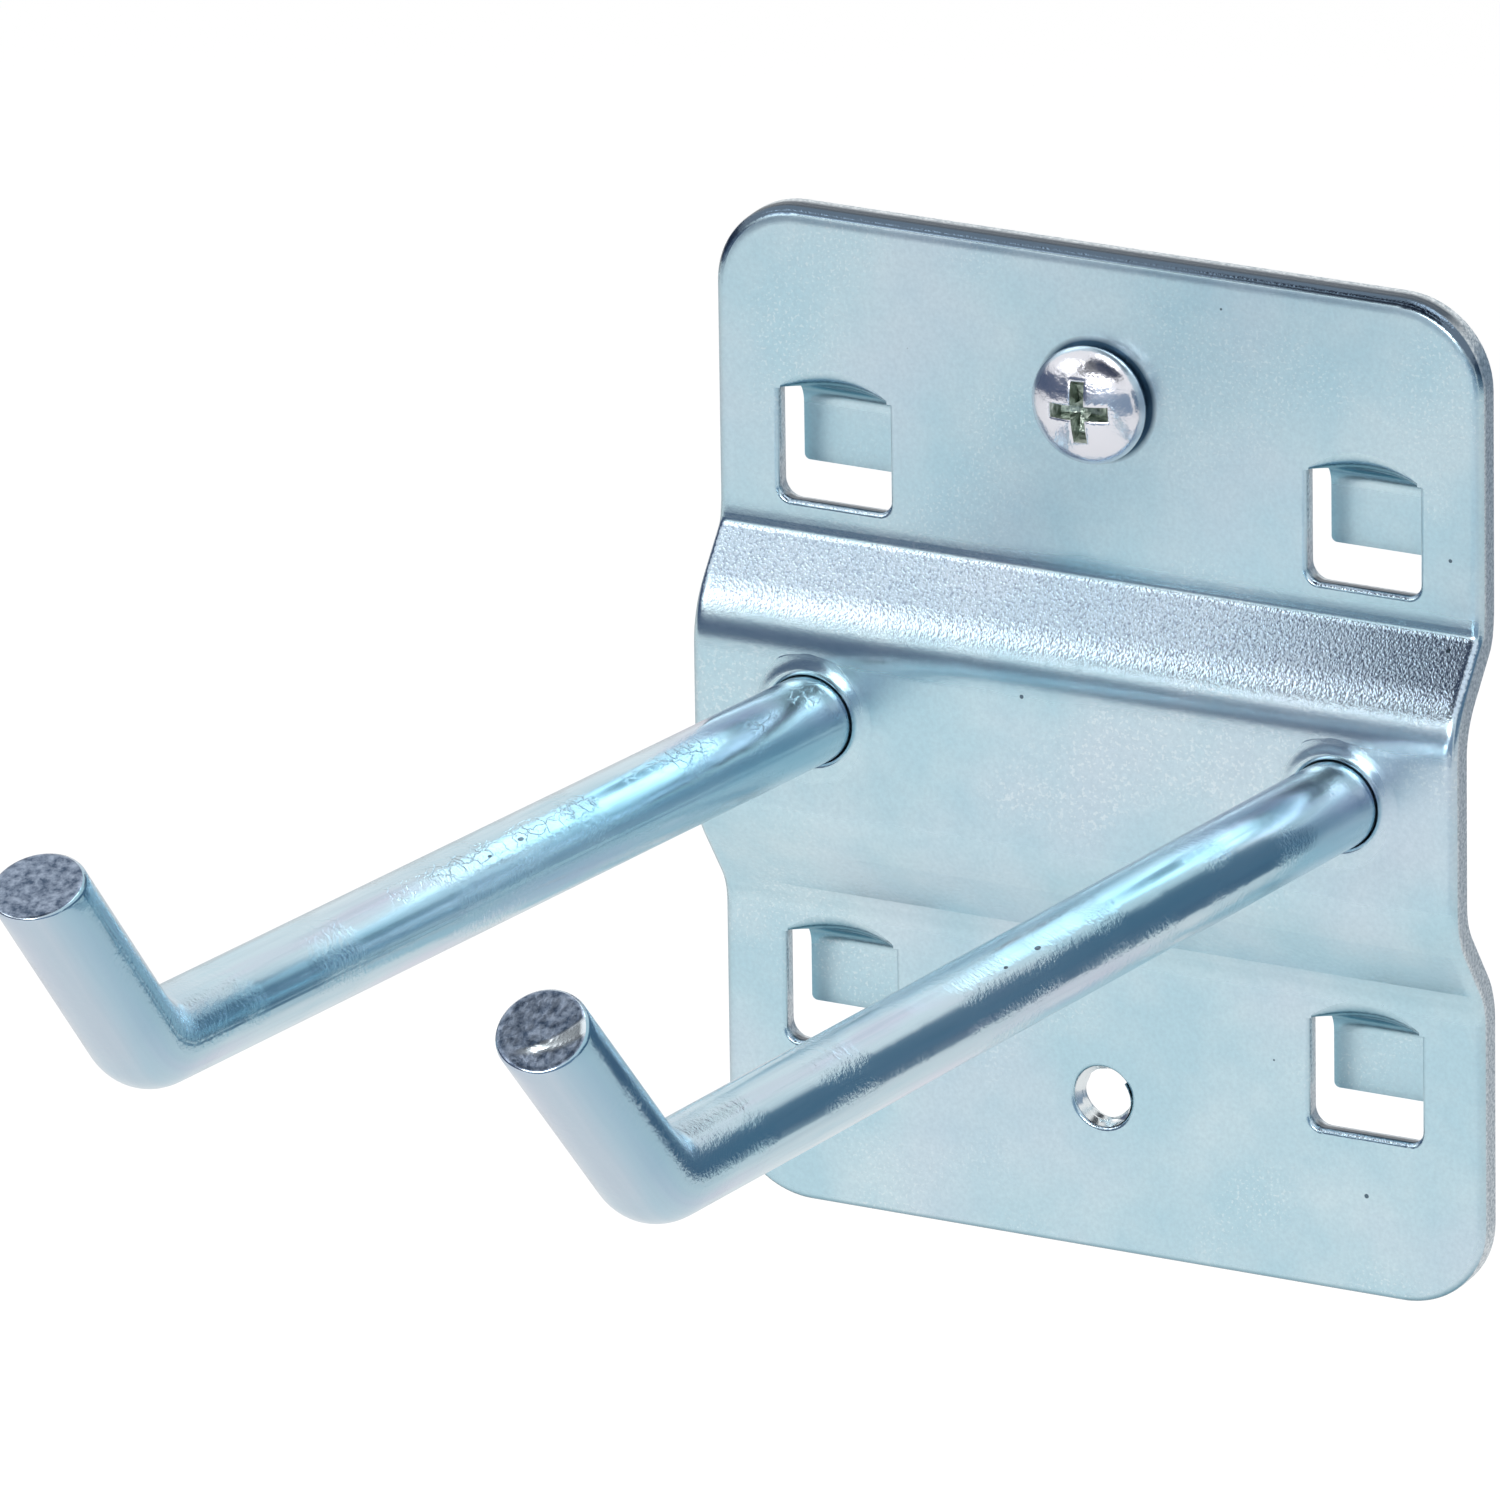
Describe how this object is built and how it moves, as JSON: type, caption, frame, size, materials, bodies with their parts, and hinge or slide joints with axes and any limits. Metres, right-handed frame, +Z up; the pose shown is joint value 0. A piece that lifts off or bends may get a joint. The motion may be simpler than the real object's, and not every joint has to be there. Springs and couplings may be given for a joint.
{
  "type": "double tool hook",
  "caption": "Plated steel double tool hook: folded sheet plate with bent-back panel lugs, a pair of bent round bars to hang tools on, and a locking screw.",
  "frame": {"origin": "centre of the four panel lugs, on the back plane of the plate's flats", "axes": "+Z up the plate, +Y back into the panel, so that the bars reach out to -Y, +X across the plate"},
  "size_m": [0.055, 0.1225, 0.0696],
  "materials": {
    "plated_sheet": "satin blue-passivated zinc on pressed sheet",
    "plated_bar": "glossy blue-passivated zinc on drawn bar",
    "bright_screw": "bright zinc"
  },
  "bodies": {
    "root": {"base_plate": "plated_sheet", "left_hook": "plated_bar", "right_hook": "plated_bar", "locking_screw": "bright_screw"}
  },
  "joints": []
}
